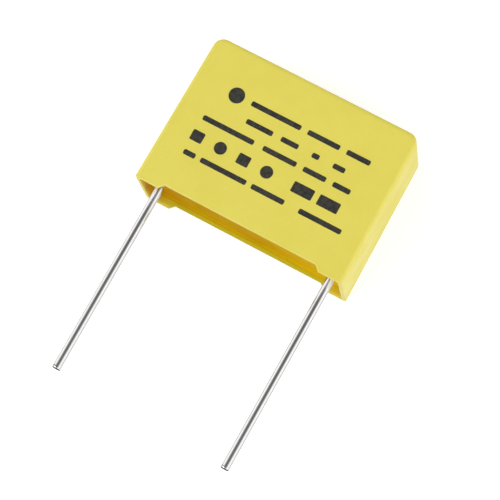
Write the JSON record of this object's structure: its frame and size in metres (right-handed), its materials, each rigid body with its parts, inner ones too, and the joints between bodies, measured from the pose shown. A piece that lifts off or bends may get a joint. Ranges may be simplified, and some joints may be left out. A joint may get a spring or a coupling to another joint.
{
  "type": "safety capacitor",
  "caption": "Box film capacitor for use across the mains: moulded yellow case on corner feet, potted with resin, with parallel round leads for a circuit board.",
  "frame": {"origin": "centre of the case's back face, the plain broad face that it lies on", "axes": "+X along the case from the left lead to the right lead, +Y from the open leaded side to the closed side, +Z out of the front face"},
  "size_m": [0.0266, 0.0429, 0.01],
  "materials": {
    "case_plastic": "finely grained moulded thermoplastic, pale yellow",
    "potting_resin": "cast epoxy, amber, smooth",
    "metallised_film": "metallised polypropylene film, wound and pressed",
    "sprayed_zinc": "flame-sprayed zinc, dull and granular",
    "tinned_wire": "bright tinned wire"
  },
  "bodies": {
    "root": {"case": "case_plastic", "potting_resin": "potting_resin", "film_winding": "metallised_film", "end_spray_left": "sprayed_zinc", "end_spray_right": "sprayed_zinc", "lead_left": "tinned_wire", "lead_right": "tinned_wire"}
  },
  "joints": []
}
